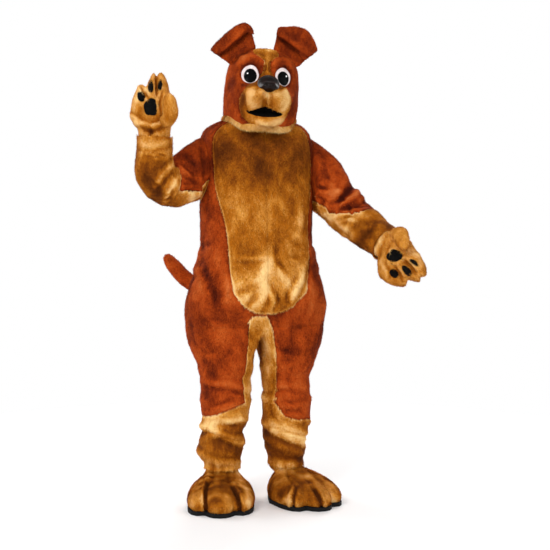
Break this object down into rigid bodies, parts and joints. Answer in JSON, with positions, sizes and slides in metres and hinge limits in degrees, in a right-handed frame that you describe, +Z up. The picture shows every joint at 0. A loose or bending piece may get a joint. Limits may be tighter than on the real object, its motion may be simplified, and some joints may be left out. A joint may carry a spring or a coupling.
{
  "type": "dog mascot costume",
  "caption": "Full plush dog costume with hollow head, suit, tail, two mitts and two paw shoes, filled out as if worn, one arm raised and one held out.",
  "frame": {"origin": "midway between the wearer's shoulders, 1.40 m above the floor that the soles stand on, on the body's centre plane", "axes": "+Z up, -Y the way the costume faces, +X toward the wearer's left"},
  "size_m": [1.0439, 0.8958, 1.8903],
  "materials": {
    "rust_plush": "short pile plush, rust brown",
    "tan_plush": "short pile plush, golden tan with a light nap",
    "zip_tape": "woven zip tape, dark",
    "mouth_mesh": "black see-through mesh over the mouth",
    "pad_felt": "black short fur fabric",
    "eye_white": "glossy white",
    "eye_black": "glossy black",
    "nose_shell": "glossy black-brown",
    "sole_rubber": "black sponge rubber"
  },
  "bodies": {
    "root": {"belly_right": "tan_plush", "belly_left": "tan_plush", "front_right": "rust_plush", "front_left": "rust_plush", "back_right": "rust_plush", "back_left": "rust_plush", "back_zip_tape": "zip_tape", "upper_sleeve_right": "rust_plush", "upper_sleeve_left": "rust_plush", "underarm_right": "tan_plush", "underarm_left": "tan_plush", "forearm_right": "tan_plush", "forearm_left": "tan_plush", "leg_right": "rust_plush", "leg_left": "rust_plush", "inner_leg_gusset": "tan_plush", "lower_leg_right": "tan_plush", "lower_leg_left": "tan_plush", "tail": "rust_plush", "head_hem_trim": "tan_plush", "mouth_mesh": "mouth_mesh", "forehead_blaze": "tan_plush", "chin": "tan_plush", "muzzle_right": "tan_plush", "muzzle_left": "tan_plush", "head_cheek_right": "rust_plush", "head_cheek_left": "rust_plush", "head_back_right": "rust_plush", "head_back_left": "rust_plush", "ear_right": "rust_plush", "ear_left": "rust_plush", "eye_right": "eye_white", "eye_left": "eye_white", "pupil_right": "eye_black", "pupil_left": "eye_black", "nose": "nose_shell", "mitt_right": "tan_plush", "mitt_left": "tan_plush", "thumb_right": "tan_plush", "thumb_left": "tan_plush", "palm_pad_right": "pad_felt", "palm_pad_left": "pad_felt", "toe_outer_pad_right": "pad_felt", "toe_outer_pad_left": "pad_felt", "toe_middle_pad_right": "pad_felt", "toe_middle_pad_left": "pad_felt", "toe_inner_pad_right": "pad_felt", "toe_inner_pad_left": "pad_felt", "paw_shoe_right": "tan_plush", "paw_shoe_left": "tan_plush", "sole_right": "sole_rubber", "sole_left": "sole_rubber"}
  },
  "joints": []
}
